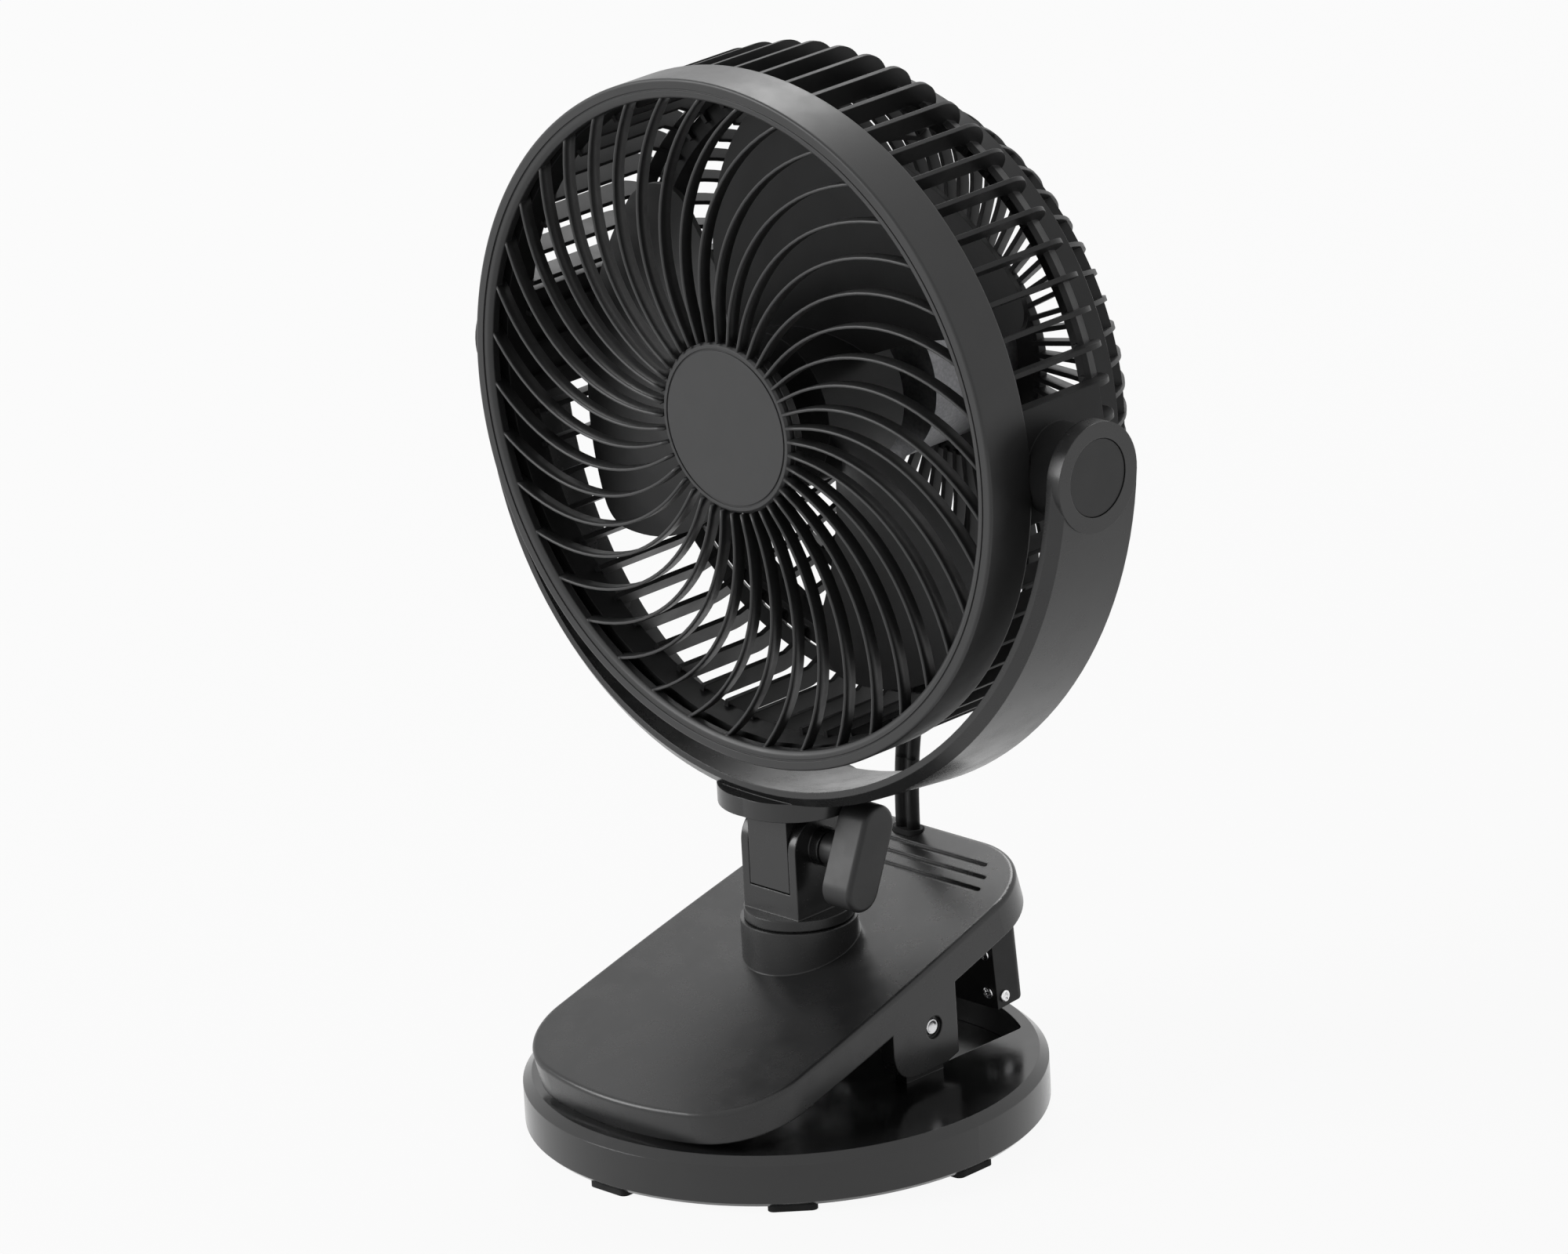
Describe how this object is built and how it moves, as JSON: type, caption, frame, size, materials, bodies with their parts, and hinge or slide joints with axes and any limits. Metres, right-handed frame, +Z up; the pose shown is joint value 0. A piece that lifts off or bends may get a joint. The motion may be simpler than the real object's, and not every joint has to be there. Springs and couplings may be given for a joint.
{
  "type": "clip fan",
  "caption": "Black clip fan with a round weighted-look base, sprung clip jaw, swivel neck, yoke and a caged fan head with curved front ribs.",
  "frame": {"origin": "bottom centre of the base disc, on the plane of the feet", "axes": "+Z up, the fan faces -Y, +X to the fan's left as it faces forward"},
  "size_m": [0.242, 0.187, 0.329],
  "materials": {
    "black_plastic": "satin moulded",
    "gloss_black": "semi gloss",
    "steel": "plated",
    "motor_steel": "satin",
    "copper": "wound",
    "soft_rubber": "matte",
    "board": "matte",
    "cell_foil": "satin"
  },
  "bodies": {
    "base": {"base_shell": "black_plastic", "base_plate": "black_plastic", "base_screws": "steel", "base_feet": "soft_rubber", "base_grip_pad": "soft_rubber", "hinge_pin": "steel", "clip_spring": "steel"},
    "clip_jaw": {"upper_jaw": "black_plastic", "jaw_cover": "black_plastic", "jaw_grip_pad": "soft_rubber", "battery_pack": "cell_foil", "charge_case": "black_plastic", "case_door": "black_plastic", "case_screws": "steel", "circuit_board": "board", "charge_socket": "steel", "jaw_gland": "soft_rubber", "lead_lower": "soft_rubber"},
    "swivel_neck": {"neck": "black_plastic", "neck_washer": "steel", "neck_screw": "steel", "bolt_cover": "black_plastic", "pivot_bolt": "steel"},
    "clamp_knob": {"wing_knob": "black_plastic"},
    "yoke_arm": {"yoke": "black_plastic", "pivot_caps": "black_plastic", "pivot_pins": "steel", "lead_middle": "soft_rubber"},
    "fan_head": {"front_guard": "black_plastic", "cap_disc": "gloss_black", "rear_guard": "black_plastic", "speed_switch": "black_plastic", "motor_housing": "motor_steel", "motor_frame": "motor_steel", "bearings": "steel", "stator": "copper", "head_gland": "soft_rubber", "lead_upper": "soft_rubber"},
    "fan_rotor": {"impeller": "black_plastic", "impeller_nut": "steel", "motor_shaft": "steel", "rotor_core": "motor_steel"},
    "speed_knob": {"speed_dial": "black_plastic"}
  },
  "joints": [
    {"name": "clip_hinge", "type": "hinge", "parent": "base", "child": "clip_jaw", "pos_m": [0, 0.0148, 0.0346], "axis": [-1, 0, 0], "range_deg": [0, 22], "stiffness_Nm_per_rad": 2.5, "springref_deg": -34.38},
    {"name": "turret_swivel", "type": "hinge", "parent": "clip_jaw", "child": "swivel_neck", "pos_m": [0, 0.0093, 0.0618], "axis": [0, 0, 1], "range_deg": [-90, 90], "deforming": ["lead_lower", "lead_middle", "lead_upper"]},
    {"name": "yoke_tilt", "type": "hinge", "parent": "swivel_neck", "child": "yoke_arm", "pos_m": [0, 0.0093, 0.0865], "axis": [1, 0, 0], "range_deg": [-40, 60], "deforming": ["lead_lower", "lead_middle", "lead_upper"]},
    {"name": "clamp_knob_turn", "type": "hinge", "parent": "swivel_neck", "child": "clamp_knob", "pos_m": [0, 0.0093, 0.0865], "axis": [1, 0, 0], "range_deg": [-180, 180]},
    {"name": "head_tilt", "type": "hinge", "parent": "yoke_arm", "child": "fan_head", "pos_m": [0, 0.0208, 0.2225], "axis": [-1, 0, 0], "range_deg": [-30, 60], "deforming": ["lead_middle", "lead_upper"]},
    {"name": "rotor_spin", "type": "hinge", "parent": "fan_head", "child": "fan_rotor", "pos_m": [0, 0, 0.2225], "axis": [0, 1, 0], "continuous": true},
    {"name": "speed_knob_turn", "type": "hinge", "parent": "fan_head", "child": "speed_knob", "pos_m": [0, 0, 0.2225], "axis": [0, 1, 0], "range_deg": [0, 270]}
  ]
}
